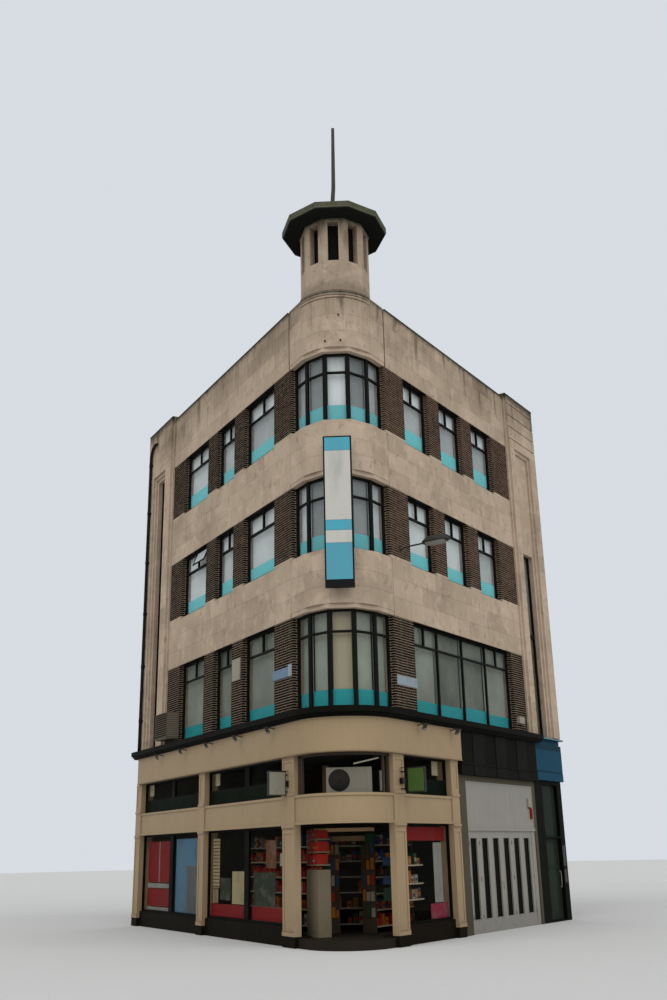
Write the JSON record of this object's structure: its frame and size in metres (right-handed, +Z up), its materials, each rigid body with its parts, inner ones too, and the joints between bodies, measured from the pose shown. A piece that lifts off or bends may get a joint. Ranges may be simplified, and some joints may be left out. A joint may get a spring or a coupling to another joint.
{
  "type": "corner shop building",
  "caption": "Wedge-shaped corner building: timber shopfront, upper storeys of stone bands and brick piers, curved corner with a slotted lantern, cap and mast.",
  "frame": {"origin": "on the lowest ground, at the centre of the corner curve, under the lantern and mast", "axes": "+Z up; -Y out of the corner, halfway between the two street fronts; +X towards the right front"},
  "size_m": [13.9171, 14.2109, 22.5406],
  "materials": {
    "ashlar": "sawn ashlar blocks with fine joints, rain-stained",
    "brick": "dark brown and purple facing brick in bond, pale mortar",
    "party_brick": "plain brick party wall",
    "concrete": "cast concrete, smooth",
    "roof_felt": "mineral roofing felt",
    "floor_tiles": "worn floor tiles",
    "black_frame": "black satin paint on metal windows",
    "window_glass": "clear glass with a pale reflection",
    "cap_stone": "dark mossy weathered stone",
    "mast_paint": "grey painted pole, weathered",
    "ledge_paint": "black weathered lead and paint",
    "cream_paint": "cream gloss paint on moulded timber, worn",
    "black_tile": "black glazed stall riser, scuffed",
    "green_paint": "very dark green gloss paint",
    "shutter_metal": "grey roller shutter box",
    "shop_frame": "dark painted shop window frames",
    "shop_glass": "plate glass",
    "poster_board": "plain printed boards, coloured blocks",
    "charcoal_paint": "charcoal paint, flat",
    "blue_paint": "blue painted fascia panel",
    "grey_paint": "grey paint on timber, flat",
    "white_paint": "white paint on timber, scuffed",
    "door_frame_paint": "black painted door surround",
    "street_door_metal": "dark anodised glazed door",
    "sign_plastic": "blank coloured sign panels in a black case",
    "shelf_wood": "plain shop shelving",
    "unit_plastic": "grey cooling unit, dusty",
    "lamp_metal": "grey lamp housings",
    "pipe_metal": "black painted rainwater pipe",
    "vent_metal": "brown painted sheet metal"
  },
  "bodies": {
    "building": {"shop_floor": "floor_tiles", "upper_floors": "concrete", "roof_deck": "roof_felt", "left_party_wall": "party_brick", "right_party_wall": "party_brick", "shop_beam": "concrete", "stone_bands": "ashlar", "parapet": "ashlar", "brick_piers": "brick", "left_end_bay": "ashlar", "right_end_bay": "ashlar", "first_floor_windows": "black_frame", "upper_windows": "black_frame", "corner_windows": "black_frame", "upper_glass": "window_glass", "corner_glass": "window_glass", "stair_windows": "black_frame", "lantern_drum": "ashlar", "lantern_posts": "ashlar", "lantern_cap": "cap_stone", "mast": "mast_paint", "shop_ledge": "ledge_paint", "shop_fascia": "cream_paint", "lower_fascia": "cream_paint", "pilasters": "cream_paint", "plinth": "black_tile", "top_light_panels": "green_paint", "shutter_box": "shutter_metal", "shop_window_frames": "shop_frame", "shop_glass": "shop_glass", "poster_panels": "poster_board", "charcoal_fascia": "charcoal_paint", "blue_panel": "blue_paint", "doors_surround": "grey_paint", "white_board": "white_paint", "folding_doors": "white_paint", "street_door_frame": "door_frame_paint", "corner_sign": "sign_plastic", "hanging_signs": "sign_plastic", "shop_shelves": "shelf_wood", "cooling_unit": "unit_plastic", "wall_lamps": "lamp_metal", "rainwater_pipe": "pipe_metal", "vent_box": "vent_metal"},
    "door_leaf": {"street_door": "street_door_metal"}
  },
  "joints": [
    {"name": "street_door_hinge", "type": "hinge", "parent": "building", "child": "door_leaf", "pos_m": [5.4869, 6.8607, 0], "axis": [0, 0, 1], "range_deg": [0, 90]}
  ]
}
